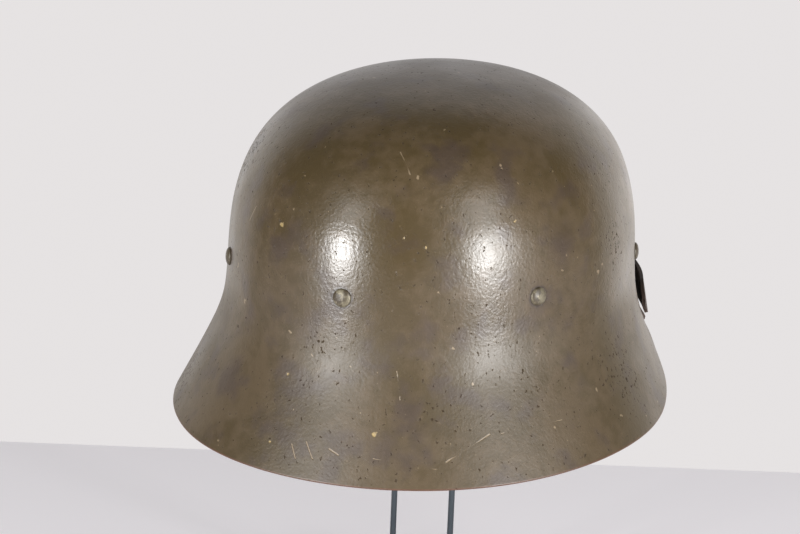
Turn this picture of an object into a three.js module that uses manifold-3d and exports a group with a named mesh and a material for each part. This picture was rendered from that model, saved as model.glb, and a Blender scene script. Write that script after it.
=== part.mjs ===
// A flared military steel helmet with its leather chin strap, on a plain rod stand.
// Millimetres, +Z up. The visor faces -Y and the wearer's left is +X.
// The origin is on the floor, under the middle of the whole part.

import * as THREE from 'three';
import { mergeVertices } from 'three/addons/utils/BufferGeometryUtils.js';
import Module from 'manifold-3d';

const wasm = await Module();
wasm.setup();

// Shell: a dome on a slightly tapered wall, which a soft fold turns out into the skirt.
const SHEET = 1.2;
const CROWN_HEIGHT = 165.4;
const CROWN_HALF_WIDTH = 94.2;
const CROWN_FRONT = 117;
const CROWN_REAR = 115;
const SPRING_HEIGHT = 64.5;
const DOME_RADIUS_POWER = 2.18;
const DOME_HEIGHT_POWER = 3.2;
const WALL_TAPER_DEG = 2;
const WALL_SOFTNESS = 6;
const FOLD_SOFTNESS = 7.8;

// One row for each section of the skirt, by its angle from the front: the fold's height, the flare's
// angle from the vertical, and the rim's height, all above the lowest point of the rim.
const SKIRT_SECTIONS = [
  { angle: 0, fold: 60, flare: 46, rim: 30 },
  { angle: 30, fold: 59, flare: 42, rim: 28 },
  { angle: 52, fold: 56.3, flare: 29, rim: 20 },
  { angle: 70, fold: 57.8, flare: 25.6, rim: 12.2 },
  { angle: 110, fold: 54.7, flare: 29, rim: 6.6 },
  { angle: 145, fold: 48.2, flare: 30, rim: 2 },
  { angle: 180, fold: 46.6, flare: 26.3, rim: 0 },
];
const SHELL_SIDES = 72;
const WALL_TOP = 76;
const DOME_RINGS = 10;
const WALL_RINGS = 13;

// Rivets
const RIVET_HEIGHT = 78;
const RIVET_HEAD_RADIUS = 4.2;
const RIVET_HEAD_RISE = 2.4;
const RIVET_SHANK_RADIUS = 1.6;
const RIVET_FLANGE_RADIUS = 3.6;
const RIVET_FLANGE_THICKNESS = 0.8;
const RIVET_SIDES = 12;
const RIVET_HOLE_RADIUS = 2.1;
const RIVET_HOLE_LENGTH = 12;
const SIDE_RIVET_ANGLE = 67.4;
const RIVETS = [
  { name: 'rivet_rear', angle: 180, holdsStrap: false },
  { name: 'rivet_rear_left', angle: 133, holdsStrap: false },
  { name: 'rivet_rear_right', angle: -133, holdsStrap: false },
  { name: 'rivet_side_left', angle: SIDE_RIVET_ANGLE, holdsStrap: true },
  { name: 'rivet_side_right', angle: -SIDE_RIVET_ANGLE, holdsStrap: true },
  { name: 'rivet_front_left', angle: 21, holdsStrap: false },
  { name: 'rivet_front_right', angle: -21, holdsStrap: false },
];

// Clearance between pieces that touch
const GAP = 0.4;

// Chin strap: leather that lies on the sheet, turns round the raw edge and runs up the inside.
const STRAP_WIDTH = 17;
const STRAP_THICKNESS = 1.6;
const STRAP_LIFT = GAP + STRAP_THICKNESS / 2;
const STRAP_EDGE_RUN = 3;
const RUN_STEPS = 60;
const RUN_HALVINGS = 24;
const STRAP_STEPS_PER_ROW = 4;
const TONGUE_TIP = 12;
const SQUARE_TIP = 0.6;
const TIP_FLAT = 0.6;

// Buckle, on the wearer's right of the front
const BUCKLE_ANGLE = -13;
const BUCKLE_ACROSS = 25;
const BUCKLE_ALONG = 19;
const BUCKLE_BAR = 2.6;
const BUCKLE_THICKNESS = 2;
const BUCKLE_CORNER = 2.5;
const BUCKLE_LIFT = GAP + STRAP_THICKNESS + GAP;
// How far the curved sheet falls away under the ends of the flat buckle
const SHEET_FALL = 0.5;
const PRONG_RADIUS = 0.8;
const PRONG_HOLE_RADIUS = 1.25;
const PRONG_ROOT = 2.4;
const PRONG_ROOT_RISE = 0.3;
const PRONG_TIP_RISE = 0.2;

// Stand
const RIM_ABOVE_FLOOR = 110;
const ROD_RADIUS = 1.5;
const ROD_SPACING = 30;
const ROD_SIDES = 10;
const ROD_ARCH_STEPS = 16;
const ROD_SEAT_DEPTH = 3.5;
const BASE_SIZE = 120;
const BASE_THICKNESS = 6;
const BASE_CORNER = 14;
const BASE_BEVEL = 0.8;

const UP = new THREE.Vector3(0, 0, 1);
const radians = THREE.MathUtils.degToRad;
const tangent = (degrees) => Math.tan(radians(degrees));

// The ramp that is nearly zero below 0 and nearly x above it, with a soft knee.
function softRamp(x, softness) {
  return softness * Math.log1p(Math.exp(x / softness));
}

const skirtCurve = new THREE.CubicInterpolant(
  SKIRT_SECTIONS.map((section) => section.angle),
  SKIRT_SECTIONS.flatMap((section) => [section.fold, section.flare, section.rim]),
  3,
);
skirtCurve.settings = { endingStart: THREE.ZeroSlopeEnding, endingEnd: THREE.ZeroSlopeEnding };

function skirtAt(angle) {
  const fromFront = Math.abs(THREE.MathUtils.euclideanModulo(angle + 180, 360) - 180);
  const [fold, flare, rim] = skirtCurve.evaluate(fromFront);
  return { fold, flare, rim };
}

function sheetRadius(angle, height) {
  const across = Math.sin(radians(angle)) / CROWN_HALF_WIDTH;
  const forward = Math.cos(radians(angle));
  const lengthwise = forward / (forward > 0 ? CROWN_FRONT : CROWN_REAR);
  const oval = 1 / Math.hypot(across, lengthwise);
  const { fold, flare } = skirtAt(angle);
  const taper = tangent(WALL_TAPER_DEG) * softRamp(SPRING_HEIGHT - height, WALL_SOFTNESS);
  const skirt = tangent(flare) * softRamp(fold - height, FOLD_SOFTNESS);
  const rise = Math.max(height - SPRING_HEIGHT, 0) / (CROWN_HEIGHT - SPRING_HEIGHT);
  const dome = (1 - rise ** DOME_HEIGHT_POWER) ** (1 / DOME_RADIUS_POWER);
  return dome * (oval - taper + skirt);
}

function sheetPoint(angle, height) {
  const radius = sheetRadius(angle, height);
  return new THREE.Vector3(radius * Math.sin(radians(angle)), -radius * Math.cos(radians(angle)), height);
}

// The sheet's outward normal and its downward direction, from small differences on the surface.
function sheetFrame(angle, height) {
  const turn = 0.2;
  const climb = 0.05;
  const around = sheetPoint(angle + turn, height).sub(sheetPoint(angle - turn, height));
  const down = sheetPoint(angle, height - climb).sub(sheetPoint(angle, height + climb)).normalize();
  const normal = down.clone().cross(around).normalize();
  return { normal, down };
}

// Helpers for solids

// A closed solid through rings of points, from one pole point to another. Seen along the way from the
// first pole to the last, each ring runs anticlockwise.
function loftedSolid(firstPole, rings, lastPole) {
  const sides = rings[0].length;
  const points = [firstPole, ...rings.flat(), lastPole];
  const last = points.length - 1;
  const at = (ring, side) => 1 + ring * sides + (side % sides);
  const index = [];
  for (let side = 0; side < sides; side += 1) {
    index.push(0, at(0, side), at(0, side + 1));
    for (let ring = 0; ring + 1 < rings.length; ring += 1) {
      index.push(at(ring, side), at(ring + 1, side), at(ring + 1, side + 1));
      index.push(at(ring, side), at(ring + 1, side + 1), at(ring, side + 1));
    }
    index.push(last, at(rings.length - 1, side + 1), at(rings.length - 1, side));
  }
  const geometry = new THREE.BufferGeometry().setFromPoints(points);
  geometry.setIndex(index);
  return geometry;
}

// A flat outline carried along stations, each with a centre and its two directions.
function sweptSolid(stations) {
  const rings = stations.map(({ centre, across, outward, outline }) => outline.map(([side, rise]) => (
    centre.clone().addScaledVector(across, side).addScaledVector(outward, rise))));
  return loftedSolid(stations[0].centre, rings, stations.at(-1).centre);
}

function toManifold(geometry) {
  const plain = geometry.clone();
  plain.deleteAttribute('normal');
  plain.deleteAttribute('uv');
  const merged = mergeVertices(plain);
  const vertProperties = new Float32Array(merged.attributes.position.array);
  const triVerts = new Uint32Array(merged.index.array);
  return new wasm.Manifold(new wasm.Mesh({ numProp: 3, vertProperties, triVerts }));
}

function cutAway(geometry, cutters) {
  let solid = toManifold(geometry);
  for (const cutter of cutters) {
    solid = solid.subtract(toManifold(cutter));
  }
  const { vertProperties, triVerts } = solid.getMesh();
  const result = new THREE.BufferGeometry();
  result.setAttribute('position', new THREE.BufferAttribute(vertProperties, 3));
  result.setIndex(new THREE.BufferAttribute(triVerts, 1));
  return result;
}

// A round cutter along a line through a point
function drill(centre, direction, radius, length, sides = 12) {
  const geometry = new THREE.CylinderGeometry(radius, radius, length, sides);
  geometry.applyQuaternion(new THREE.Quaternion().setFromUnitVectors(new THREE.Vector3(0, 1, 0), direction));
  return geometry.translate(...centre);
}

function piece(name, geometry, material) {
  geometry.computeVertexNormals();
  const mesh = new THREE.Mesh(geometry, material);
  mesh.name = name;
  return mesh;
}

const paint = () => new THREE.MeshStandardMaterial({ color: 0x60533c, roughness: 0.42, metalness: 0.1 });
const wornSteel = () => new THREE.MeshStandardMaterial({ color: 0x8a826a, roughness: 0.4, metalness: 0.8 });
const leather = () => new THREE.MeshStandardMaterial({ color: 0x4a362c, roughness: 0.55, metalness: 0 });
const darkSteel = () => new THREE.MeshStandardMaterial({ color: 0x4d5258, roughness: 0.45, metalness: 0.6 });

// Shell

function shellRing(heightAt, depth) {
  const ring = [];
  for (let side = 0; side < SHELL_SIDES; side += 1) {
    const angle = (360 * side) / SHELL_SIDES;
    const height = heightAt(angle);
    ring.push(sheetPoint(angle, height).addScaledVector(sheetFrame(angle, height).normal, -depth));
  }
  return ring;
}

function shellHeights() {
  const heights = [];
  for (let ring = 1; ring <= DOME_RINGS; ring += 1) {
    const rise = Math.cos((ring / DOME_RINGS) * (Math.PI / 2));
    heights.push(() => THREE.MathUtils.lerp(WALL_TOP, CROWN_HEIGHT, rise));
  }
  for (let ring = 1; ring <= WALL_RINGS; ring += 1) {
    heights.push((angle) => THREE.MathUtils.lerp(WALL_TOP, skirtAt(angle).rim, ring / WALL_RINGS));
  }
  return heights;
}

function rivetSeat(angle) {
  return { point: sheetPoint(angle, RIVET_HEIGHT), normal: sheetFrame(angle, RIVET_HEIGHT).normal };
}

function makeShell() {
  const heights = shellHeights();
  const outside = heights.map((heightAt) => shellRing(heightAt, 0));
  const inside = heights.map((heightAt) => shellRing(heightAt, SHEET)).reverse();
  const top = new THREE.Vector3(0, 0, CROWN_HEIGHT);
  const underTop = new THREE.Vector3(0, 0, CROWN_HEIGHT - SHEET);
  const sheet = loftedSolid(top, [...outside, ...inside], underTop);
  const holes = RIVETS.map(({ angle }) => {
    const { point, normal } = rivetSeat(angle);
    return drill(point, normal, RIVET_HOLE_RADIUS, RIVET_HOLE_LENGTH);
  });
  return piece('shell', cutAway(sheet, holes), paint());
}

// Rivets: a domed head outside, a shank through the sheet and a clinched flange inside

function makeRivet({ name, angle, holdsStrap }) {
  const grip = SHEET + (holdsStrap ? GAP + STRAP_THICKNESS : 0) + GAP;
  const dome = new THREE.EllipseCurve(0, GAP, RIVET_HEAD_RADIUS, RIVET_HEAD_RISE, Math.PI / 2, 0, true);
  const profile = [
    ...dome.getPoints(4).map((point, step) => new THREE.Vector2(step === 0 ? 0 : point.x, point.y)),
    new THREE.Vector2(RIVET_SHANK_RADIUS, GAP),
    new THREE.Vector2(RIVET_SHANK_RADIUS, -grip),
    new THREE.Vector2(RIVET_FLANGE_RADIUS, -grip),
    new THREE.Vector2(RIVET_FLANGE_RADIUS, -grip - RIVET_FLANGE_THICKNESS),
    new THREE.Vector2(0, -grip - RIVET_FLANGE_THICKNESS),
  ].reverse();
  const { point, normal } = rivetSeat(angle);
  const rivet = piece(name, new THREE.LatheGeometry(profile, RIVET_SIDES), wornSteel());
  rivet.position.copy(point);
  rivet.quaternion.setFromUnitVectors(new THREE.Vector3(0, 1, 0), normal);
  return rivet;
}

// Chin strap

// The length of sheet from the rim up to a height
function runToHeight(angle, height) {
  const steps = RUN_STEPS;
  const { rim } = skirtAt(angle);
  let run = STRAP_EDGE_RUN;
  for (let step = 0; step < steps; step += 1) {
    const from = sheetPoint(angle, THREE.MathUtils.lerp(rim, height, step / steps));
    const to = sheetPoint(angle, THREE.MathUtils.lerp(rim, height, (step + 1) / steps));
    run += from.distanceTo(to);
  }
  return run;
}

function heightAtRun(angle, run) {
  let low = skirtAt(angle).rim;
  let high = (SPRING_HEIGHT + CROWN_HEIGHT) / 2;
  for (let halving = 0; halving < RUN_HALVINGS; halving += 1) {
    const middle = (low + high) / 2;
    if (runToHeight(angle, middle) < run) {
      low = middle;
    } else {
      high = middle;
    }
  }
  return low;
}

// A place on the sheet by its angle and its run from the rim, up the outside for a run above zero and up
// the inside below it, lifted off the sheet.
function wrapPoint(angle, run, lift) {
  const height = heightAtRun(angle, Math.abs(run));
  const { normal, down } = sheetFrame(angle, height);
  const swing = THREE.MathUtils.clamp(run / STRAP_EDGE_RUN, -1, 1) * (Math.PI / 2);
  const outward = normal.clone().multiplyScalar(Math.sin(swing)).addScaledVector(down, Math.cos(swing));
  const middle = sheetPoint(angle, height).addScaledVector(normal, -SHEET / 2);
  return middle.addScaledVector(outward, SHEET / 2 + lift);
}

// The piece of sheet under a strap at one place: the middle of the strap and its crosswise direction. Where
// the sheet is hollow the strap bridges it, as a straight chord between its two edges.
function strapSeat(angle, run, lift, heading) {
  const perDegree = radians(sheetRadius(angle, heightAtRun(angle, Math.abs(run))));
  const half = STRAP_WIDTH / 2;
  const turn = (half * heading.y) / perDegree;
  const climb = -half * heading.x;
  const edge = wrapPoint(angle + turn, run + climb, lift);
  const otherEdge = wrapPoint(angle - turn, run - climb, lift);
  const across = edge.clone().sub(otherEdge).normalize();
  const chord = edge.add(otherEdge).multiplyScalar(0.5);
  const middle = wrapPoint(angle, run, lift);
  const outward = wrapPoint(angle, run, lift + 1).sub(middle);
  const stands = middle.clone().sub(chord).dot(outward);
  return { centre: stands > 0 ? middle : chord, across };
}

// The strap's path, by angle from the front, run from the rim and lift off the sheet. Rows that state a
// height lie on the outside or the inside of the sheet at that height.
const runOutside = ({ angle, height, lift }) => ({ angle, run: runToHeight(angle, height), lift });
const runInside = ({ angle, height, lift }) => ({ angle, run: -runToHeight(angle, height), lift });

const RIM_ANGLE = 32;
const BAND_HEIGHT = 61;
const UP_THE_INSIDE = [
  { angle: 70.5, height: 87, lift: STRAP_LIFT },
  { angle: SIDE_RIVET_ANGLE, height: RIVET_HEIGHT, lift: STRAP_LIFT },
  { angle: 62.5, height: 67, lift: STRAP_LIFT },
  { angle: 56, height: 55, lift: 2 },
].map(runInside);
const ROUND_THE_RIM = [
  { angle: 44, run: -26, lift: 1.8 },
  { angle: 35, run: -14, lift: STRAP_LIFT },
  { angle: RIM_ANGLE, run: -5, lift: STRAP_LIFT },
  { angle: RIM_ANGLE, run: 0, lift: STRAP_LIFT },
  { angle: RIM_ANGLE, run: 5, lift: STRAP_LIFT },
  { angle: 31.4, run: 15, lift: STRAP_LIFT },
];
const UP_THE_VISOR = [
  { angle: 29.4, height: 44, lift: STRAP_LIFT },
  { angle: 26, height: 53.5, lift: STRAP_LIFT },
  { angle: 22.4, height: 59, lift: STRAP_LIFT },
  { angle: 19.4, height: BAND_HEIGHT, lift: STRAP_LIFT },
].map(runOutside);
const STRAP_SIDE = [...UP_THE_INSIDE, ...ROUND_THE_RIM, ...UP_THE_VISOR];

const LOOP_LIFT = BUCKLE_LIFT + BUCKLE_THICKNESS + SHEET_FALL + 2 * GAP + STRAP_THICKNESS / 2;
const TONGUE_LIFT = LOOP_LIFT + STRAP_THICKNESS + GAP;
const ACROSS_THE_FRONT = [
  { angle: 12, height: BAND_HEIGHT, lift: STRAP_LIFT },
  { angle: 3, height: BAND_HEIGHT, lift: STRAP_LIFT },
  { angle: -5, height: BAND_HEIGHT, lift: STRAP_LIFT },
  { angle: -9.4, height: BAND_HEIGHT, lift: STRAP_LIFT },
  { angle: -10.8, height: BAND_HEIGHT, lift: 2.1 },
  { angle: -14.4, height: BAND_HEIGHT, lift: 7.1 },
  { angle: -17.4, height: BAND_HEIGHT, lift: TONGUE_LIFT },
].map(runOutside);
const TONGUE = [
  { angle: -22, height: 60.4, lift: TONGUE_LIFT },
  { angle: -27, height: 58.8, lift: 7.8 },
  { angle: -33, height: 56.4, lift: 7 },
  { angle: -41, height: 53.4, lift: 6.4 },
  { angle: -49, height: 51.2, lift: 6 },
  { angle: -56, height: 50.4, lift: 4.6 },
  { angle: -62.5, height: 50.2, lift: 2.6 },
].map(runOutside);

const BAR_ANGLE = BUCKLE_ANGLE - 4.1;
const LOOP_ROUND_BAR = [
  { past: 0, rise: 0 },
  { past: 1.35, rise: 0.15 },
  { past: 1.9, rise: 0.5 },
  { past: 1.35, rise: 0.85 },
  { past: 0, rise: 1 },
].map(({ past, rise }) => runOutside({
  angle: BAR_ANGLE + past,
  height: BAND_HEIGHT,
  lift: THREE.MathUtils.lerp(STRAP_LIFT, LOOP_LIFT, rise),
}));
const LOOP_END = [
  { angle: -20, height: 60.7, lift: LOOP_LIFT },
  { angle: -23.4, height: 58.4, lift: LOOP_LIFT },
].map(runOutside);

const mirrored = (rows) => rows.map((row) => ({ ...row, angle: -row.angle }));

function strapPlaces(rows) {
  const knots = rows.map(({ angle, run, lift }) => new THREE.Vector3(angle, run, lift));
  const path = new THREE.CatmullRomCurve3(knots, false, 'centripetal');
  return path.getPoints(STRAP_STEPS_PER_ROW * (rows.length - 1));
}

// Seats along the path. The heading stays as it was where the strap turns to fold back over itself.
function strapSeats(rows) {
  const places = strapPlaces(rows);
  const heading = new THREE.Vector2();
  return places.map((place, step) => {
    const before = places[Math.max(step - 1, 0)];
    const after = places[Math.min(step + 1, places.length - 1)];
    const perDegree = radians(sheetRadius(place.x, heightAtRun(place.x, Math.abs(place.y))));
    const along = new THREE.Vector2((after.x - before.x) * perDegree, after.y - before.y);
    if (along.length() > Math.abs(after.z - before.z)) {
      const side = along.dot(heading) < 0 ? -1 : 1;
      heading.copy(along).normalize().multiplyScalar(side);
    }
    return strapSeat(place.x, place.y, place.z, heading);
  });
}

function strapOutline(width) {
  const half = width / 2;
  const rise = STRAP_THICKNESS / 2;
  return [[-half, -rise], [half, -rise], [half, rise], [-half, rise]];
}

function makeStrap(rows, tipLength) {
  const seats = strapSeats(rows);
  const end = seats.at(-1).centre;
  const stations = seats.map(({ centre, across }, step) => {
    const before = seats[Math.max(step - 1, 0)].centre;
    const after = seats[Math.min(step + 1, seats.length - 1)].centre;
    const along = after.clone().sub(before).normalize();
    const outward = across.clone().cross(along).normalize();
    const toEnd = Math.min((centre.distanceTo(end) + TIP_FLAT) / tipLength, 1);
    const width = STRAP_WIDTH * Math.sqrt(1 - (1 - toEnd) ** 2);
    return { centre, across, outward, outline: strapOutline(width) };
  });
  return sweptSolid(stations);
}

// Buckle: a flat steel frame in the strap's plane, its own X along the strap and Z outward

function makeBuckle() {
  const heading = new THREE.Vector2(-1, 0);
  const lift = BUCKLE_LIFT + BUCKLE_THICKNESS / 2;
  const seatAt = (angle) => strapSeat(angle, runToHeight(angle, BAND_HEIGHT), lift, heading);
  const { centre, across } = seatAt(BUCKLE_ANGLE);
  const along = seatAt(BUCKLE_ANGLE - 1).centre.sub(seatAt(BUCKLE_ANGLE + 1).centre).normalize();
  const outward = across.clone().cross(along).normalize();
  const buckle = new THREE.Group();
  buckle.position.copy(centre);
  buckle.quaternion.setFromRotationMatrix(
    new THREE.Matrix4().makeBasis(along, outward.clone().cross(along), outward),
  );
  buckle.add(piece('buckle_frame', buckleFrame(), wornSteel()));
  buckle.add(piece('buckle_prong', prongRod(PRONG_RADIUS, 0), wornSteel()));
  buckle.updateMatrix();
  return buckle;
}

function roundedRectangle(path, width, depth, corner) {
  const x = width / 2 - corner;
  const y = depth / 2 - corner;
  path.absarc(x, y, corner, 0, Math.PI / 2);
  path.absarc(-x, y, corner, Math.PI / 2, Math.PI);
  path.absarc(-x, -y, corner, Math.PI, 1.5 * Math.PI);
  path.absarc(x, -y, corner, 1.5 * Math.PI, 2 * Math.PI);
  path.closePath();
  return path;
}

function buckleFrame() {
  const shape = roundedRectangle(new THREE.Shape(), BUCKLE_ALONG, BUCKLE_ACROSS, BUCKLE_CORNER);
  const inside = [BUCKLE_ALONG - 2 * BUCKLE_BAR, BUCKLE_ACROSS - 2 * BUCKLE_BAR];
  shape.holes.push(roundedRectangle(new THREE.Path(), ...inside, BUCKLE_CORNER / 2));
  const frame = new THREE.ExtrudeGeometry(shape, {
    depth: BUCKLE_THICKNESS, bevelEnabled: false, curveSegments: 3,
  });
  return frame.translate(0, 0, -BUCKLE_THICKNESS / 2);
}

// The prong leans from the folded strap up through the tongue and rests on the front bar.
function prongRod(radius, longer) {
  const barTop = BUCKLE_THICKNESS / 2 + GAP + PRONG_RADIUS;
  const tip = new THREE.Vector3(-BUCKLE_ALONG / 2, 0, barTop + PRONG_TIP_RISE);
  const root = new THREE.Vector3(PRONG_ROOT, 0, PRONG_ROOT_RISE);
  const along = tip.clone().sub(root);
  const middle = tip.add(root).multiplyScalar(0.5);
  return drill(middle, along.clone().normalize(), radius, along.length() + longer, 8);
}

// Stand

function makeHoop() {
  const bottom = BASE_THICKNESS - ROD_SEAT_DEPTH + GAP;
  const reach = ROD_SPACING / 2;
  const crownUnderside = RIM_ABOVE_FLOOR + CROWN_HEIGHT - SHEET;
  const archHeight = crownUnderside - GAP - ROD_RADIUS - reach;
  const places = [{ x: -reach, z: bottom, turn: 0 }];
  for (let step = 0; step <= ROD_ARCH_STEPS; step += 1) {
    const turn = (Math.PI * step) / ROD_ARCH_STEPS;
    places.push({ x: -reach * Math.cos(turn), z: archHeight + reach * Math.sin(turn), turn });
  }
  places.push({ x: reach, z: bottom, turn: Math.PI });
  const outline = [];
  for (let side = 0; side < ROD_SIDES; side += 1) {
    const swing = (2 * Math.PI * side) / ROD_SIDES;
    outline.push([ROD_RADIUS * Math.cos(swing), ROD_RADIUS * Math.sin(swing)]);
  }
  const stations = places.map(({ x, z, turn }) => ({
    centre: new THREE.Vector3(x, 0, z),
    across: new THREE.Vector3(0, -1, 0),
    outward: new THREE.Vector3(-Math.cos(turn), 0, Math.sin(turn)),
    outline,
  }));
  return piece('stand_hoop', sweptSolid(stations), darkSteel());
}

function makeBase(rodY) {
  const shape = roundedRectangle(new THREE.Shape(), BASE_SIZE, BASE_SIZE, BASE_CORNER);
  const plate = new THREE.ExtrudeGeometry(shape, {
    depth: BASE_THICKNESS - 2 * BASE_BEVEL,
    bevelThickness: BASE_BEVEL,
    bevelSize: BASE_BEVEL,
    bevelOffset: -BASE_BEVEL,
    bevelSegments: 1,
    curveSegments: 6,
  });
  plate.translate(0, 0, BASE_BEVEL);
  const seats = [-1, 1].map((side) => drill(
    new THREE.Vector3((side * ROD_SPACING) / 2, rodY, BASE_THICKNESS),
    UP,
    ROD_RADIUS + GAP,
    2 * ROD_SEAT_DEPTH,
  ));
  return piece('stand_base', cutAway(plate, seats), darkSteel());
}

// Assembly

const helmet = new THREE.Group();
const frontReach = sheetRadius(0, skirtAt(0).rim);
const rearReach = sheetRadius(180, skirtAt(180).rim);
const crownAxisY = (frontReach - rearReach) / 2;
helmet.position.set(0, crownAxisY, RIM_ABOVE_FLOOR);
helmet.add(makeShell());
for (const rivet of RIVETS) {
  helmet.add(makeRivet(rivet));
}

const buckle = makeBuckle();
helmet.add(buckle);
const rivetHole = (angle) => {
  const { point, normal } = rivetSeat(angle);
  return drill(point, normal, RIVET_HOLE_RADIUS, RIVET_HOLE_LENGTH);
};
const prongHole = prongRod(PRONG_HOLE_RADIUS, STRAP_THICKNESS).applyMatrix4(buckle.matrix);
const longStrap = makeStrap([...STRAP_SIDE, ...ACROSS_THE_FRONT, ...TONGUE], TONGUE_TIP);
const shortStrap = makeStrap([...mirrored(STRAP_SIDE), ...LOOP_ROUND_BAR, ...LOOP_END], SQUARE_TIP);
helmet.add(piece('strap_long', cutAway(longStrap, [rivetHole(SIDE_RIVET_ANGLE), prongHole]), leather()));
helmet.add(piece('strap_short', cutAway(shortStrap, [rivetHole(-SIDE_RIVET_ANGLE)]), leather()));

const hoop = makeHoop();
hoop.position.y = crownAxisY;
const group = new THREE.Group();
group.add(helmet, hoop, makeBase(crownAxisY));

export default group;
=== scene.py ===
"""Looks for a flared steel helmet with its leather chin strap, hung on a plain rod stand.

The helmet's sizes are in millimetres, measured from the lowest point of its rim on the crown's axis.
Angles run from the visor round to the wearer's left.
"""

import math

import bpy
import numpy as np
from mathutils import Matrix, Vector


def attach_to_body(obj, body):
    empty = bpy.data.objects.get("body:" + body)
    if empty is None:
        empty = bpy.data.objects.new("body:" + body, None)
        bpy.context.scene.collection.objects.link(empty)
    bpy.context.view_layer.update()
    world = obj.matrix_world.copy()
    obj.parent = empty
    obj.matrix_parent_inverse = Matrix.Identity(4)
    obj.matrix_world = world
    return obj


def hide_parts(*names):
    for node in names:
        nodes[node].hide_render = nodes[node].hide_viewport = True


MM = 0.001

# Shell
SHEET = 1.2
CROWN_HEIGHT = 165.4
CROWN_HALF_WIDTH = 94.2
CROWN_FRONT = 117
CROWN_REAR = 115
SPRING_HEIGHT = 64.5
DOME_RADIUS_POWER = 2.18
DOME_HEIGHT_POWER = 3.2
WALL_TAPER_DEG = 2
WALL_SOFTNESS = 6
FOLD_SOFTNESS = 7.8
# Skirt sections: angle, the fold's height, the flare's angle from the vertical, the rim's height
SKIRT_SECTIONS = np.array([
    (0, 60, 46, 30),
    (30, 59, 42, 28),
    (52, 56.3, 29, 20),
    (70, 57.8, 25.6, 12.2),
    (110, 54.7, 29, 6.6),
    (145, 48.2, 30, 2),
    (180, 46.6, 26.3, 0),
])
WALL_TOP = 76
SHELL_SIDES = 360
DOME_RINGS = 80
WALL_RINGS = 84
INNER_STRIDE = 2
EDGE_STEPS = 5
EDGE_ATTRIBUTE = "raw_edge"
EDGE_REACH = 0.9
RIM_ABOVE_FLOOR = 110

# Hollows knocked into the sheet: place, reach and depth
DENTS = [
    {"angle": 128, "height": 120, "reach": 16, "depth": 0.5},
    {"angle": -158, "height": 60, "reach": 22, "depth": 0.35},
    {"angle": 172, "height": 30, "reach": 18, "depth": 0.35},
    {"angle": -120, "height": 25, "reach": 20, "depth": 0.4},
    {"angle": 120, "height": 22, "reach": 15, "depth": 0.5},
    {"angle": 20, "height": 120, "reach": 25, "depth": 0.4},
    {"angle": -60, "height": 110, "reach": 20, "depth": 0.4},
]

# Rivets
RIVET_HEIGHT = 78
RIVET_RADIUS = 4.2
RIVET_RISE = 1.9
RIVET_SIDES = 48
RIVET_STEPS = 12
RIVET_DOME_POWER = 0.9
RIVET_SUNK = 0.4
RIVETS = {
    "rivet_rear": 180,
    "rivet_rear_left": 133,
    "rivet_rear_right": -133,
    "rivet_side_left": 67.4,
    "rivet_side_right": -67.4,
    "rivet_front_left": 21,
    "rivet_front_right": -21,
}

WORN_RIVETS = ("rivet_rear", "rivet_rear_right")

# Wear on the paint: chips to the ochre primer, light scratches, dark stains and patches of dark scuffs
CHIPS = [
    {"angle": -162, "height": 102.5, "radius": 1.0},
    {"angle": -167, "height": 106, "radius": 0.9},
    {"angle": 162, "height": 104.5, "radius": 1.5},
    {"angle": -170.5, "height": 21.5, "radius": 1.7},
    {"angle": 168, "height": 40, "radius": 1.1},
    {"angle": 168, "height": 12, "radius": 0.8},
    {"angle": -140, "height": 112, "radius": 0.8},
    {"angle": 60, "height": 30, "radius": 1.4},
    {"angle": -30, "height": 130, "radius": 1.2},
    {"angle": 95, "height": 96, "radius": 1.0},
]
SCRATCHES = [
    {"from": (-170.5, 139.5), "to": (-167, 131.5), "width": 0.28},
    {"from": (-156, 12), "to": (-147, 22), "width": 0.35},
    {"from": (-144.5, 22), "to": (-129, 24), "width": 0.22},
    {"from": (-170, 12), "to": (-158, 9), "width": 0.22},
    {"from": (-167, 48), "to": (-166, 36), "width": 0.2},
    {"from": (150, 108), "to": (148, 101), "width": 0.25},
    {"from": (176, 15), "to": (178, 9), "width": 0.3},
    {"from": (173, 13), "to": (174.5, 8), "width": 0.3},
    {"from": (-179, 14), "to": (-177, 12), "width": 0.35},
    {"from": (40, 60), "to": (62, 24), "width": 0.25},
    {"from": (-75, 96), "to": (-64, 112), "width": 0.25},
]
STAINS = [
    {"angle": -155.5, "height": 140, "radius": 9},
    {"angle": -158, "height": 44, "radius": 8},
    {"angle": -164, "height": 31, "radius": 9},
    {"angle": 150, "height": 30, "radius": 14},
    {"angle": -125, "height": 100, "radius": 12},
    {"angle": 128, "height": 128, "radius": 12},
    {"angle": 30, "height": 95, "radius": 14},
]
SCUFFS = [
    {"angle": 127, "height": 124, "radius": 24},
    {"angle": 118, "height": 95, "radius": 16},
    {"angle": -98, "height": 92, "radius": 18},
    {"angle": 122, "height": 20, "radius": 24},
    {"angle": -105, "height": 34, "radius": 26},
    {"angle": -160, "height": 30, "radius": 9},
    {"angle": 175, "height": 58, "radius": 9},
]

# The skirt's paint is duller than the crown's: heights where that starts and is whole
DULL_SKIRT = (72, 52)

# The strap's free tongue, by angle: its middle's height, and how far its lower edge settles
# towards the sheet
TONGUE_LEAST_LIFT = 1.4
TONGUE_TIP_DEG = 4
TONGUE = np.array([
    (-62.5, 50.2, 1.2),
    (-56, 50.4, 2.8),
    (-49, 51.2, 4.2),
    (-43, 53, 4.3),
    (-38.5, 54.4, 2),
    (-34.5, 56, 0),
])

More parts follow.
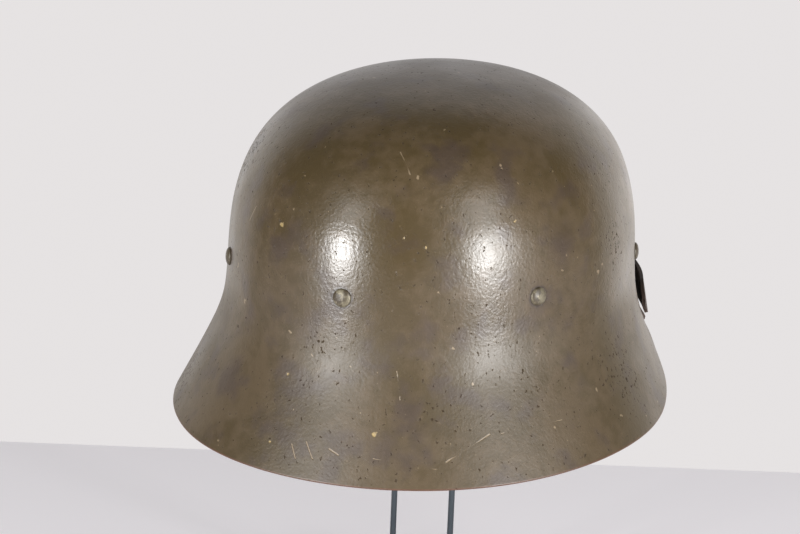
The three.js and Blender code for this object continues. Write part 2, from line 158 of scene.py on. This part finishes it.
# Paint: noise scales per metre, bump depths in metres, shares of each mark's colour, and roughness
PAINT_NOISE = {
    "mottle": 22, "fine": 190, "stain": 60, "flecks": 640, "light_flecks": 260,
    "gloss": 35, "crinkle": 760, "swell": 190,
}
PAINT_BUMP = {"swell": 0.00011, "crinkle": 0.000085, "marks": 0.00012}
# The last mark share is painted shade: a dark ring on the sheet round each rivet's foot.
MARK_SHARE = {"stain": 0.6, "pits": 0.6, "light_flecks": 0.6, "scratches": 0.55, "chips": 0.75, "rivet_foot_shade": 0.75}
# Noise levels where a mark starts and is whole, the radii where a spot is whole and ends as shares of its
# own, and the ragged outlines' noise scale and reach in millimetres
MARK_LEVELS = {"stain": (0.5, 0.68), "pits": (0.65, 0.72), "light_flecks": (0.735, 0.765)}
# The last spot edges are for the painted shade round the rivet feet.
SPOT_EDGES = {"stains": (0.3, 1.0), "scuffs": (0.2, 1.0), "chips": (0.35, 0.9), "rivet_foot_shade": (1.02, 1.4)}
RAGGED = {"stains": (90, 9), "scuffs": (60, 8), "scratches": (150, 0.5), "chips": (800, 1.1)}
FLECK_STRETCH = (1, 1, 0.8)
SCUFF_GAIN = 0.085
PAINT_ROUGHNESS = (0.29, 0.36)
PIT_ROUGHNESS = 0.25
SKIRT_ROUGHNESS = 0.13
PAINT_SHINE = 0.5
PIT_SHINE_LOSS = 0.4

# Rivets, leather and plain metal: noise scales per metre, bump depths in metres, and finish
RIVET_LOOK = {"wear_noise": 260, "grain_noise": 900, "grain_depth": 0.0002, "metal": 0.35, "roughness": 0.45}
LEATHER_LOOK = {
    "rubbed_noise": 70, "crease_noise": 260, "crease_depth": 0.0006,
    "grain_noise": 1500, "grain_depth": 0.00018, "roughness": 0.62, "shine": 0.3,
}
PLAIN_GRAIN_DEPTH = 0.00008

# Stand
ROD_RADIUS = 1.5
ROD_SPACING = 30
ROD_SIDES = 24
ROD_ARCH_STEPS = 48
ROD_SUNK = 1
BASE_THICKNESS = 6

# Rounded edges of the copied pieces, with the least corner that is rounded
ROUNDING = {"strap": 0.45, "buckle_frame": 0.7, "buckle_prong": 0.25, "stand_base": 0.5}
ROUNDING_STEPS = 3
ROUNDING_LEAST_DEG = 40

# Colours, linear
PAINT_DARK = (0.052, 0.036, 0.0155)
PAINT_LIGHT = (0.074, 0.052, 0.028)
PAINT_STAIN = (0.044, 0.031, 0.026)
# Colour of the pits, and also of the painted shade round the rivet feet
PIT_AND_RIVET_SHADE = (0.026, 0.018, 0.014)
PRIMER = (0.34, 0.25, 0.11)
SCRATCH = (0.26, 0.20, 0.13)
RUST = (0.085, 0.034, 0.018)
RIVET_STEEL = (0.155, 0.135, 0.092)
RIVET_PAINT = (0.045, 0.033, 0.018)
LEATHER = (0.040, 0.027, 0.021)
LEATHER_WORN = (0.085, 0.055, 0.040)
BUCKLE_STEEL = (0.22, 0.21, 0.20)
STAND_PAINT = (0.060, 0.070, 0.080)
FLOOR = (0.66, 0.64, 0.665)
ROOM_COLOR = (0.035, 0.032, 0.027)

# Camera: angles about the helmet, then its place and focal length in millimetres and picture widths
VIEW_AZIMUTH_DEG = 200.54
VIEW_ELEVATION_DEG = 13.8
VIEW_ROLL_DEG = 2.25
CAMERA_RIGHT = -15.7
CAMERA_UP = 64.41
CAMERA_DISTANCE = 1100
FOCAL_PER_WIDTH = 2254.85 / 800
SENSOR_WIDTH = 36

# Two soft lights beside the camera and a dimmer pair above them: direction from the helmet, size and power
LIGHT_DISTANCE = 1.5
LIGHTS = [
    {"name": "light_left", "azimuth": 158.5, "elevation": 4, "width": 0.2, "height": 0.34, "watts": 23.5},
    {"name": "light_right", "azimuth": 246, "elevation": 4, "width": 0.2, "height": 0.34, "watts": 25.5},
    {"name": "high_left", "azimuth": 160, "elevation": 29, "width": 0.42, "height": 0.34, "watts": 3.4},
    {"name": "high_right", "azimuth": 244, "elevation": 31, "width": 0.42, "height": 0.34, "watts": 5.5},
]
# The backdrop fills the directions away from the camera, with a brighter glow at each side of the
# picture: the turn from straight ahead, cosines of the angles where each patch starts and is whole,
# and its colour
BACKDROP = [
    {"turn": 0, "start": 0.45, "full": 0.65, "color": (0.79, 0.765, 0.765)},
    {"turn": -37, "start": 0.88, "full": 0.97, "color": (1.6, 1.55, 1.52)},
    {"turn": 37, "start": 0.89, "full": 0.97, "color": (1.15, 1.12, 1.1)},
]
TABLE_EDGE = 233
TABLE_SIZE = 2400
TABLE_ROUGHNESS = 0.7
TABLE_GLOW = 0.42

# Colour sockets of a mix node, which have no names of their own
MIX_FIRST = 6
MIX_SECOND = 7
MIX_RESULT = 2


def soft_ramp(x, softness):
    return softness * np.log1p(np.exp(x / softness))


def skirt_at(angle):
    """The fold's height, the flare's angle and the rim's height, on a smooth curve through the sections."""
    knots = SKIRT_SECTIONS[:, 0]
    values = SKIRT_SECTIONS[:, 1:]
    steps = np.diff(knots)
    secants = np.diff(values, axis=0) / steps[:, None]
    slopes = np.zeros_like(values)
    slopes[1:-1] = (secants[:-1] + secants[1:]) / 2
    from_front = np.abs((np.asarray(angle, float) + 180) % 360 - 180)
    span = np.clip(np.searchsorted(knots, from_front, side="right") - 1, 0, len(steps) - 1)
    width = steps[span][..., None]
    t = ((from_front - knots[span]) / steps[span])[..., None]
    start = (1 + 2 * t) * (1 - t) ** 2 * values[span] + t * (1 - t) ** 2 * width * slopes[span]
    end = t ** 2 * (3 - 2 * t) * values[span + 1] + t ** 2 * (t - 1) * width * slopes[span + 1]
    return np.moveaxis(start + end, -1, 0)


def sheet_radius(angle, height):
    across = np.sin(np.radians(angle)) / CROWN_HALF_WIDTH
    forward = np.cos(np.radians(angle))
    oval = 1 / np.hypot(across, forward / np.where(forward > 0, CROWN_FRONT, CROWN_REAR))
    fold, flare, _ = skirt_at(angle)
    taper = math.tan(math.radians(WALL_TAPER_DEG)) * soft_ramp(SPRING_HEIGHT - height, WALL_SOFTNESS)
    skirt = np.tan(np.radians(flare)) * soft_ramp(fold - height, FOLD_SOFTNESS)
    rise = np.clip((height - SPRING_HEIGHT) / (CROWN_HEIGHT - SPRING_HEIGHT), 0, 1)
    dome = (1 - rise ** DOME_HEIGHT_POWER) ** (1 / DOME_RADIUS_POWER)
    return dome * (oval - taper + skirt)


def sheet_point(angle, height):
    radius = sheet_radius(angle, height)
    turn = np.radians(angle)
    return np.stack([radius * np.sin(turn), -radius * np.cos(turn), height + 0 * radius], axis=-1)


def sheet_normal(angle, height):
    turn, climb = 0.2, 0.05
    around = sheet_point(angle + turn, height) - sheet_point(angle - turn, height)
    down = sheet_point(angle, height - climb) - sheet_point(angle, height + climb)
    normal = np.cross(down, around)
    return normal / np.linalg.norm(normal, axis=-1, keepdims=True)


def crown_axis():
    """The crown's axis at the rim's height, in the part's frame."""
    reach = [sheet_radius(angle, skirt_at(angle)[2]) for angle in (0.0, 180.0)]
    return np.array([0, (reach[0] - reach[1]) / 2, RIM_ABOVE_FLOOR])


def to_frame(points):
    return (np.asarray(points) + crown_axis()) * MM


def place_on_shell(angle, height):
    return Vector(to_frame(sheet_point(np.float64(angle), np.float64(height))))


def new_object(name, vertices, faces, material):
    mesh = bpy.data.meshes.new(name)
    mesh.from_pydata([tuple(v) for v in vertices], [], faces)
    mesh.materials.append(material)
    mesh.polygons.foreach_set("use_smooth", [True] * len(mesh.polygons))
    mesh.update()
    thing = bpy.data.objects.new(name, mesh)
    bpy.context.scene.collection.objects.link(thing)
    return thing


def loft(first_pole, rings, last_pole):
    """Vertices and faces of a closed solid through rings of points between two poles."""
    count, sides = rings.shape[:2]
    vertices = np.vstack([first_pole, rings.reshape(-1, 3), last_pole])
    last = len(vertices) - 1
    faces = []
    for side in range(sides):
        after = (side + 1) % sides
        faces.append((0, 1 + side, 1 + after))
        for ring in range(count - 1):
            low, high = 1 + ring * sides, 1 + (ring + 1) * sides
            faces.append((low + side, high + side, high + after, low + after))
        end = 1 + (count - 1) * sides
        faces.append((last, end + after, end + side))
    return vertices, faces


def dent_depth(points):
    depth = np.zeros(points.shape[:-1])
    for dent in DENTS:
        centre = sheet_point(np.float64(dent["angle"]), np.float64(dent["height"]))
        away = np.linalg.norm(points - centre, axis=-1) / dent["reach"]
        depth += dent["depth"] * np.exp(-2 * away ** 2)
    return depth


def shell_surface():
    """Points and normals of the outside, ring by ring from the crown down to the rim."""
    angles = np.arange(SHELL_SIDES) * 360 / SHELL_SIDES
    quarter = np.arange(1, DOME_RINGS + 1) / DOME_RINGS * math.pi / 2
    dome = WALL_TOP + (CROWN_HEIGHT - WALL_TOP) * np.cos(quarter)
    dome = np.repeat(dome[:, None], SHELL_SIDES, axis=1)
    share = (np.arange(1, WALL_RINGS + 1) / WALL_RINGS)[:, None]
    wall = WALL_TOP + (skirt_at(angles)[2][None, :] - WALL_TOP) * share
    heights = np.vstack([dome, wall])
    angles = np.repeat(angles[None, :], len(heights), axis=0)
    points = sheet_point(angles, heights)
    normals = sheet_normal(angles, heights)
    return points - normals * dent_depth(points)[..., None], normals


def build_shell(material):
    outside, normals = shell_surface()
    inside = (outside - normals * SHEET)[::-1][::INNER_STRIDE]
    down = outside[-1] - outside[-2]
    down /= np.linalg.norm(down, axis=-1, keepdims=True)
    middle = outside[-1] - normals[-1] * SHEET / 2 - down * SHEET / 2
    edge = []
    for step in range(EDGE_STEPS + 1):
        swing = math.pi * step / EDGE_STEPS
        edge.append(middle + (normals[-1] * math.cos(swing) + down * math.sin(swing)) * SHEET / 2)
    rings = np.concatenate([outside[:-1], np.stack(edge), inside[1:]])
    top = np.array([0, 0, CROWN_HEIGHT])
    vertices, faces = loft(top, rings, top - [0, 0, SHEET])
    return new_object("shell_painted", to_frame(vertices), faces, material)


def build_rivet(name, angle, material):
    """A domed head that sits on the sheet, with its foot sunk a little into it."""
    centre = place_on_shell(angle, RIVET_HEIGHT)
    normal = Vector(sheet_normal(np.float64(angle), np.float64(RIVET_HEIGHT)))
    side = normal.cross(Vector((0, 0, 1))).normalized()
    above = side.cross(normal)
    profile = []
    for step in range(1, RIVET_STEPS + 1):
        swing = math.pi / 2 * step / RIVET_STEPS
        rise = RIVET_RISE * math.cos(swing) ** RIVET_DOME_POWER
        profile.append((RIVET_RADIUS * math.sin(swing), rise))
    profile.append((RIVET_RADIUS - RIVET_SUNK, -RIVET_SUNK))
    rings = []
    for radius, rise in profile:
        ring = []
        for step in range(RIVET_SIDES):
            swing = 2 * math.pi * step / RIVET_SIDES
            flat = side * math.cos(swing) + above * math.sin(swing)
            ring.append(centre + (flat * radius + normal * rise) * MM)
        rings.append(ring)
    top = centre + normal * RIVET_RISE * MM
    foot = centre - normal * RIVET_SUNK * MM
    vertices, faces = loft(np.array(top), np.array(rings), np.array(foot))
    return new_object(f"{name}_head", vertices, faces, material)


def build_hoop(material):
    axis = crown_axis()
    reach = ROD_SPACING / 2
    arch = RIM_ABOVE_FLOOR + CROWN_HEIGHT - SHEET - ROD_RADIUS - reach
    swings = np.linspace(0, math.pi, ROD_ARCH_STEPS + 1)
    turns = np.concatenate([[0], swings, [math.pi]])
    centres = np.stack([-reach * np.cos(turns), 0 * turns + axis[1], arch + reach * np.sin(turns)], axis=-1)
    centres[[0, -1], 2] = BASE_THICKNESS - ROD_SUNK
    outward = np.stack([-np.cos(turns), 0 * turns, np.sin(turns)], axis=-1)
    rings = []
    for step in range(ROD_SIDES):
        swing = 2 * math.pi * step / ROD_SIDES
        sideways = np.array([0, -math.cos(swing), 0])
        rings.append(centres + ROD_RADIUS * (sideways + outward * math.sin(swing)))
    rings = np.stack(rings, axis=1)
    vertices, faces = loft(centres[0], rings, centres[-1])
    return new_object("stand_rod", vertices * MM, faces, material)


def rounded_copy(nodes, node, name, material, bevel):
    """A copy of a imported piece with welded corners, rounded edges and smooth faces."""
    source = nodes[node].data
    corners = np.zeros(len(source.vertices) * 3)
    source.vertices.foreach_get("co", corners)
    welded, index = np.unique(np.round(corners.reshape(-1, 3), 7), axis=0, return_inverse=True)
    index = index.reshape(-1)
    faces = []
    for polygon in source.polygons:
        face = [int(index[v]) for v in polygon.vertices]
        if len(set(face)) == len(face):
            faces.append(face)
    plain = new_object(name, welded, faces, material)
    rounding = plain.modifiers.new("rounding", "BEVEL")
    rounding.width = bevel * MM
    rounding.segments = ROUNDING_STEPS
    rounding.limit_method = "ANGLE"
    rounding.angle_limit = math.radians(ROUNDING_LEAST_DEG)
    rounding.harden_normals = True
    bpy.context.view_layer.update()
    evaluated = plain.evaluated_get(bpy.context.evaluated_depsgraph_get())
    finished = bpy.data.meshes.new_from_object(evaluated)
    plain.modifiers.clear()
    plain.data = finished
    return plain


def settle_tongue(strap):
    """Bends the lower edge of the strap's free tongue in towards the shell."""
    points = np.zeros(len(strap.data.vertices) * 3)
    strap.data.vertices.foreach_get("co", points)
    local = points.reshape(-1, 3) / MM - crown_axis()
    angles = np.degrees(np.arctan2(local[:, 0], -local[:, 1]))
    middle = np.interp(angles, TONGUE[:, 0], TONGUE[:, 1])
    inward = np.interp(angles, TONGUE[:, 0], TONGUE[:, 2])
    reach = np.hypot(local[:, 0], local[:, 1])
    outside = reach > sheet_radius(angles, local[:, 2]) + TONGUE_LEAST_LIFT
    moved = outside & (local[:, 2] < middle) & (angles > TONGUE[0, 0] - TONGUE_TIP_DEG)
    shrink = np.where(moved, 1 - inward / reach, 1)
    local[:, :2] *= shrink[:, None]
    strap.data.vertices.foreach_set("co", to_frame(local).reshape(-1))
    strap.data.update()


class Shader:
    """A material's node tree, with short calls for the nodes that it uses."""

    def __init__(self, name):
        self.material = bpy.data.materials.new(name)
        self.material.use_nodes = True
        self.tree = self.material.node_tree
        self.surface = self.tree.nodes["Principled BSDF"]
        self.place = self.tree.nodes.new("ShaderNodeTexCoord").outputs["Object"]

    def put(self, socket, value):
        if isinstance(value, bpy.types.NodeSocket):
            self.tree.links.new(value, socket)
        elif isinstance(value, tuple) and socket.type == "RGBA":
            socket.default_value = (*value, 1)
        else:
            socket.default_value = value

    def finish(self, **inputs):
        for name, value in inputs.items():
            self.put(self.surface.inputs[name.replace("_", " ")], value)
        return self.material

    def noise(self, scale, detail=4, stretch=None):
        node = self.tree.nodes.new("ShaderNodeTexNoise")
        node.inputs["Scale"].default_value = scale
        node.inputs["Detail"].default_value = detail
        place = self.vector("MULTIPLY", self.place, stretch) if stretch else self.place
        self.tree.links.new(place, node.inputs["Vector"])
        return node

    def math(self, operation, a, b=0.0, clamp=False):
        node = self.tree.nodes.new("ShaderNodeMath")
        node.operation = operation
        node.use_clamp = clamp
        self.put(node.inputs[0], a)
        self.put(node.inputs[1], b)
        return node.outputs[0]

    def vector(self, operation, a, b, scale=None):
        node = self.tree.nodes.new("ShaderNodeVectorMath")
        node.operation = operation
        self.put(node.inputs[0], a)
        self.put(node.inputs[1], b)
        if scale is not None:
            self.put(node.inputs["Scale"], scale)
        return node.outputs["Value" if operation in ("DISTANCE", "DOT_PRODUCT") else "Vector"]

    def fade(self, value, low, high, start=0.0, end=1.0):
        node = self.tree.nodes.new("ShaderNodeMapRange")
        node.interpolation_type = "SMOOTHSTEP"
        for socket, number in zip(node.inputs[:5], (value, low, high, start, end)):
            self.put(socket, number)
        return node.outputs[0]

    def mix(self, share, a, b):
        node = self.tree.nodes.new("ShaderNodeMix")
        node.data_type = "RGBA"
        self.put(node.inputs[0], share)
        self.put(node.inputs[MIX_FIRST], a)
        self.put(node.inputs[MIX_SECOND], b)
        return node.outputs[MIX_RESULT]

    def bump(self, height, distance, under=None):
        node = self.tree.nodes.new("ShaderNodeBump")
        self.put(node.inputs["Height"], height)
        node.inputs["Distance"].default_value = distance
        if under is not None:
            self.tree.links.new(under, node.inputs["Normal"])
        return node.outputs["Normal"]

    def ragged_place(self, scale, reach):
        """The surface place, shifted by noise, so that what is drawn from it has a ragged outline."""
        shift = self.vector("SUBTRACT", self.noise(scale).outputs["Color"], (0.5, 0.5, 0.5))
        return self.vector("ADD", self.place, self.vector("SCALE", shift, (0, 0, 0), 2 * reach * MM))

    def most(self, shares):
        total = shares[0]
        for share in shares[1:]:
            total = self.math("MAXIMUM", total, share)
        return total

    def spots(self, place, rows, inner, outer):
        """How far each place lies inside any of the round marks."""
        shares = []
        for row in rows:
            centre = tuple(place_on_shell(row["angle"], row["height"]))
            away = self.vector("DISTANCE", place, centre)
            shares.append(self.fade(away, inner * row["radius"] * MM, outer * row["radius"] * MM, 1.0, 0.0))
        return self.most(shares)

    def lines(self, place, rows):
        """How far each place lies inside any of the straight scratches."""
        shares = []
        for row in rows:
            start = place_on_shell(*row["from"])
            run = place_on_shell(*row["to"]) - start
            offset = self.vector("SUBTRACT", place, tuple(start))
            reached = self.vector("DOT_PRODUCT", offset, tuple(run))
            share = self.math("MULTIPLY", reached, 1 / run.length_squared, clamp=True)
            nearest = self.vector("SCALE", tuple(run), (0, 0, 0), share)
            away = self.vector("DISTANCE", offset, nearest)
            shares.append(self.fade(away, 0.5 * row["width"] * MM, 1.5 * row["width"] * MM, 1.0, 0.0))
        return self.most(shares)


def paint_color(shader, mottle, marks):
    """The paint's colour, with each kind of mark laid over the last."""
    fine = shader.noise(PAINT_NOISE["fine"], 6).outputs["Fac"]
    tone = shader.math("ADD", shader.math("MULTIPLY", mottle, 0.6), shader.math("MULTIPLY", fine, 0.4))
    color = shader.mix(shader.fade(tone, 0.4, 0.6), PAINT_DARK, PAINT_LIGHT)
    # The last mark laid over is painted shade round the rivet feet, in the pit colour.
    for name, mark_color in (
        ("stain", PAINT_STAIN), ("pits", PIT_AND_RIVET_SHADE), ("light_flecks", SCRATCH),
        ("scratches", SCRATCH), ("chips", PRIMER), ("rivet_foot_shade", PIT_AND_RIVET_SHADE),
    ):
        share = shader.math("MULTIPLY", marks[name], MARK_SHARE[name])
        color = shader.mix(share, color, mark_color)
    edge = shader.tree.nodes.new("ShaderNodeAttribute")
    edge.attribute_name = EDGE_ATTRIBUTE
    worn_edge = shader.math("MULTIPLY", edge.outputs["Fac"], shader.fade(mottle, 0.3, 0.5, 0.6, 1.0))
    return shader.mix(worn_edge, color, RUST)


def paint_marks(shader):
    """How much of each kind of mark, and of the painted shade round the rivet feet, lies at each place on the
    paint.
    """
    ragged = shader.ragged_place(*RAGGED["chips"])
    clouds = shader.fade(shader.noise(PAINT_NOISE["stain"], 9).outputs["Fac"], *MARK_LEVELS["stain"])
    blots = shader.spots(shader.ragged_place(*RAGGED["stains"]), STAINS, *SPOT_EDGES["stains"])
    scuffed = shader.spots(shader.ragged_place(*RAGGED["scuffs"]), SCUFFS, *SPOT_EDGES["scuffs"])
    flecks = shader.noise(PAINT_NOISE["flecks"], 4, FLECK_STRETCH).outputs["Fac"]
    pit_level = shader.math("ADD", flecks, shader.math("MULTIPLY", scuffed, SCUFF_GAIN))
    light_level = shader.noise(PAINT_NOISE["light_flecks"], 2).outputs["Fac"]
    # Painted shade: a dark ring on the sheet round each rivet's foot, where the head meets the sheet.
    seats = []
    for angle in RIVETS.values():
        seats.append({"angle": angle, "height": RIVET_HEIGHT, "radius": RIVET_RADIUS})
    return {
        "stain": shader.math("MAXIMUM", clouds, blots),
        "pits": shader.fade(pit_level, *MARK_LEVELS["pits"]),
        "light_flecks": shader.fade(light_level, *MARK_LEVELS["light_flecks"]),
        "scratches": shader.lines(shader.ragged_place(*RAGGED["scratches"]), SCRATCHES),
        "chips": shader.spots(ragged, CHIPS, *SPOT_EDGES["chips"]),
        "rivet_foot_shade": shader.spots(ragged, seats, *SPOT_EDGES["rivet_foot_shade"]),
    }


def paint_roughness(shader, pits):
    """Half gloss on the crown, duller in the pits and down the skirt."""
    cloud = shader.noise(PAINT_NOISE["gloss"], 5).outputs["Fac"]
    roughness = shader.fade(cloud, 0.35, 0.65, *PAINT_ROUGHNESS)
    height = shader.tree.nodes.new("ShaderNodeSeparateXYZ")
    shader.tree.links.new(shader.place, height.inputs[0])
    dull_top, dull_foot = ((RIM_ABOVE_FLOOR + level) * MM for level in DULL_SKIRT)
    dull = shader.fade(height.outputs["Z"], dull_top, dull_foot, 0.0, SKIRT_ROUGHNESS)
    roughness = shader.math("ADD", roughness, shader.math("MULTIPLY", pits, PIT_ROUGHNESS))
    return shader.math("ADD", roughness, dull)


def paint_material():
    """Old brown paint: mottled, finely crinkled, pitted, chipped and scratched, with a rusty raw edge and
    painted shade round the rivet feet.
    """
    shader = Shader("worn_paint")
    mottle = shader.noise(PAINT_NOISE["mottle"], 7).outputs["Fac"]
    marks = paint_marks(shader)
    pits = marks["pits"]
    swell = shader.noise(PAINT_NOISE["swell"], 3).outputs["Fac"]
    crinkle = shader.noise(PAINT_NOISE["crinkle"], 3).outputs["Fac"]
    sunk = shader.math("MULTIPLY", shader.most([pits, marks["scratches"], marks["chips"]]), -1.0)
    normal = shader.bump(swell, PAINT_BUMP["swell"])
    normal = shader.bump(crinkle, PAINT_BUMP["crinkle"], normal)
    normal = shader.bump(sunk, PAINT_BUMP["marks"], normal)
    shine = shader.math("SUBTRACT", PAINT_SHINE, shader.math("MULTIPLY", pits, PIT_SHINE_LOSS))
    return shader.finish(
        Base_Color=paint_color(shader, mottle, marks),
        Roughness=paint_roughness(shader, pits),
        Normal=normal,
        Specular_IOR_Level=shine,
    )


def rivet_material(name, wear):
    """Paint on a rivet's head, worn through to the steel over the given share of it."""
    shader = Shader(name)
    worn = shader.fade(shader.noise(RIVET_LOOK["wear_noise"], 4).outputs["Fac"], 0.42, 0.56, 0.0, wear)
    color = shader.mix(worn, RIVET_PAINT, RIVET_STEEL)
    grain = shader.noise(RIVET_LOOK["grain_noise"], 3).outputs["Fac"]
    return shader.finish(
        Base_Color=color,
        Metallic=shader.math("MULTIPLY", worn, RIVET_LOOK["metal"]),
        Roughness=RIVET_LOOK["roughness"],
        Normal=shader.bump(grain, RIVET_LOOK["grain_depth"]),
    )


def leather_material():
    """Dark waxed leather, creased and finely grained, rubbed paler in places."""
    shader = Shader("waxed_leather")
    rubbed = shader.fade(shader.noise(LEATHER_LOOK["rubbed_noise"], 6).outputs["Fac"], 0.45, 0.7)
    creases = shader.noise(LEATHER_LOOK["crease_noise"], 5).outputs["Fac"]
    grain = shader.noise(LEATHER_LOOK["grain_noise"], 2).outputs["Fac"]
    normal = shader.bump(creases, LEATHER_LOOK["crease_depth"])
    return shader.finish(
        Base_Color=shader.mix(rubbed, LEATHER, LEATHER_WORN),
        Roughness=LEATHER_LOOK["roughness"],
        Specular_IOR_Level=LEATHER_LOOK["shine"],
        Normal=shader.bump(grain, LEATHER_LOOK["grain_depth"], normal),
    )


def plain_material(name, color, metallic, roughness, grain):
    """One finish all over, with a fine grain."""
    shader = Shader(name)
    normal = shader.bump(shader.noise(grain, 3).outputs["Fac"], PLAIN_GRAIN_DEPTH)
    return shader.finish(Base_Color=color, Metallic=metallic, Roughness=roughness, Normal=normal)


def mark_raw_edge(shell):
    """Stores on each vertex how near it is to the sheared edge of the sheet."""
    points = np.zeros(len(shell.data.vertices) * 3)
    shell.data.vertices.foreach_get("co", points)
    local = points.reshape(-1, 3) / MM - crown_axis()
    rim = skirt_at(np.degrees(np.arctan2(local[:, 0], -local[:, 1])))[2]
    near = np.clip(1 - (local[:, 2] - rim) / EDGE_REACH, 0, 1)
    layer = shell.data.attributes.new(EDGE_ATTRIBUTE, "FLOAT", "POINT")
    layer.data.foreach_set("value", near)


def add_camera():
    azimuth = math.radians(VIEW_AZIMUTH_DEG)
    elevation = math.radians(VIEW_ELEVATION_DEG)
    roll = math.radians(VIEW_ROLL_DEG)
    level = math.cos(elevation)
    back = Vector((math.sin(azimuth) * level, -math.cos(azimuth) * level, math.sin(elevation)))
    right = Vector((math.cos(azimuth), math.sin(azimuth), 0))
    up = back.cross(right)
    lens = bpy.data.cameras.new("camera")
    lens.sensor_fit = "HORIZONTAL"
    lens.sensor_width = SENSOR_WIDTH
    lens.lens = SENSOR_WIDTH * FOCAL_PER_WIDTH
    camera = bpy.data.objects.new("camera", lens)
    across = right * math.cos(roll) + up * math.sin(roll)
    upward = up * math.cos(roll) - right * math.sin(roll)
    place = Vector(crown_axis()) + right * CAMERA_RIGHT + up * CAMERA_UP + back * CAMERA_DISTANCE
    turn = Matrix((across, upward, back)).transposed().to_4x4()
    camera.matrix_world = Matrix.Translation(place * MM) @ turn
    bpy.context.scene.collection.objects.link(camera)
    bpy.context.scene.camera = camera


def add_lights():
    target = Vector((0, 0, RIM_ABOVE_FLOOR + SPRING_HEIGHT)) * MM
    for row in LIGHTS:
        azimuth = math.radians(row["azimuth"])
        elevation = math.radians(row["elevation"])
        level = math.cos(elevation)
        way = Vector((math.sin(azimuth) * level, -math.cos(azimuth) * level, math.sin(elevation)))
        lamp = bpy.data.lights.new(row["name"], "AREA")
        lamp.shape = "RECTANGLE"
        lamp.size = row["width"]
        lamp.size_y = row["height"]
        lamp.energy = row["watts"]
        light = bpy.data.objects.new(row["name"], lamp)
        light.location = target + way * LIGHT_DISTANCE
        light.rotation_euler = way.to_track_quat("Z", "Y").to_euler()
        bpy.context.scene.collection.objects.link(light)


def add_patch(tree, directions, ahead, patch, around):
    """A soft-edged bright patch of the surround, on top of what is already around it."""
    facing = tree.nodes.new("ShaderNodeVectorMath")
    facing.operation = "DOT_PRODUCT"
    facing.inputs[1].default_value = Matrix.Rotation(math.radians(patch["turn"]), 3, "Z") @ ahead
    tree.links.new(directions, facing.inputs[0])
    share = tree.nodes.new("ShaderNodeMapRange")
    share.interpolation_type = "SMOOTHSTEP"
    share.inputs["From Min"].default_value = patch["start"]
    share.inputs["From Max"].default_value = patch["full"]
    tree.links.new(facing.outputs["Value"], share.inputs["Value"])
    blend = tree.nodes.new("ShaderNodeMix")
    blend.data_type = "RGBA"
    blend.inputs[MIX_FIRST].default_value = (*ROOM_COLOR, 1)
    if around is not None:
        tree.links.new(around, blend.inputs[MIX_FIRST])
    blend.inputs[MIX_SECOND].default_value = (*patch["color"], 1)
    tree.links.new(share.outputs[0], blend.inputs[0])
    return blend.outputs[MIX_RESULT]


def add_surround():
    """A pale backdrop behind the helmet in a dim room, and a pale table that ends just behind it."""
    world = bpy.data.worlds.new("pale_room")
    world.use_nodes = True
    tree = world.node_tree
    azimuth = math.radians(VIEW_AZIMUTH_DEG)
    back = Vector((math.sin(azimuth), -math.cos(azimuth), 0))
    right = Vector((math.cos(azimuth), math.sin(azimuth), 0))
    directions = tree.nodes.new("ShaderNodeTexCoord").outputs["Generated"]
    room = None
    for patch in BACKDROP:
        room = add_patch(tree, directions, -back, patch, room)
    tree.links.new(room, tree.nodes["Background"].inputs["Color"])
    bpy.context.scene.world = world

    corners = []
    for depth, side in ((-TABLE_EDGE, -1), (-TABLE_EDGE, 1), (TABLE_SIZE, 1), (TABLE_SIZE, -1)):
        corners.append((back * depth + right * side * TABLE_SIZE) * MM)
    top = Shader("table_top").finish(
        Base_Color=FLOOR, Roughness=TABLE_ROUGHNESS, Emission_Color=FLOOR, Emission_Strength=TABLE_GLOW,
    )
    table = new_object("table", corners, [(0, 1, 2, 3)], top)


def attach(thing, node):
    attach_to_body(thing, "root")
    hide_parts(node)


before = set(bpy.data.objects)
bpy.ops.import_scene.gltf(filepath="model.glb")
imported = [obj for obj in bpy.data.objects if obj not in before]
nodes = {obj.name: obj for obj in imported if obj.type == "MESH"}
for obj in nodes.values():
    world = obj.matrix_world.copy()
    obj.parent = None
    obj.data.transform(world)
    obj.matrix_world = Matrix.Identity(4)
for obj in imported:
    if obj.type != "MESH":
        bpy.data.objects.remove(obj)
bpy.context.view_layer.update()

shell = build_shell(paint_material())
mark_raw_edge(shell)
attach(shell, "shell")
worn_look = rivet_material("worn_rivet", wear=1.0)
painted_look = rivet_material("painted_rivet", wear=0.2)
for rivet_name, rivet_angle in RIVETS.items():
    rivet_look = worn_look if rivet_name in WORN_RIVETS else painted_look
    attach(build_rivet(rivet_name, rivet_angle, rivet_look), rivet_name)

leather = leather_material()
long_strap = rounded_copy(nodes, "strap_long", "long_leather", leather, ROUNDING["strap"])
settle_tongue(long_strap)
attach(long_strap, "strap_long")
short_strap = rounded_copy(nodes, "strap_short", "short_leather", leather, ROUNDING["strap"])
attach(short_strap, "strap_short")
buckle_look = plain_material("buckle_steel", BUCKLE_STEEL, metallic=0.9, roughness=0.35, grain=700)
for node, piece in (("buckle_frame", "buckle_wire"), ("buckle_prong", "buckle_tongue")):
    attach(rounded_copy(nodes, node, piece, buckle_look, ROUNDING[node]), node)

stand_look = plain_material("stand_enamel", STAND_PAINT, metallic=0.0, roughness=0.4, grain=300)
attach(build_hoop(stand_look), "stand_hoop")
plate = rounded_copy(nodes, "stand_base", "stand_plate", stand_look, ROUNDING["stand_base"])
attach(plate, "stand_base")

add_camera()
add_lights()
add_surround()
bpy.context.scene.view_settings.view_transform = "Standard"
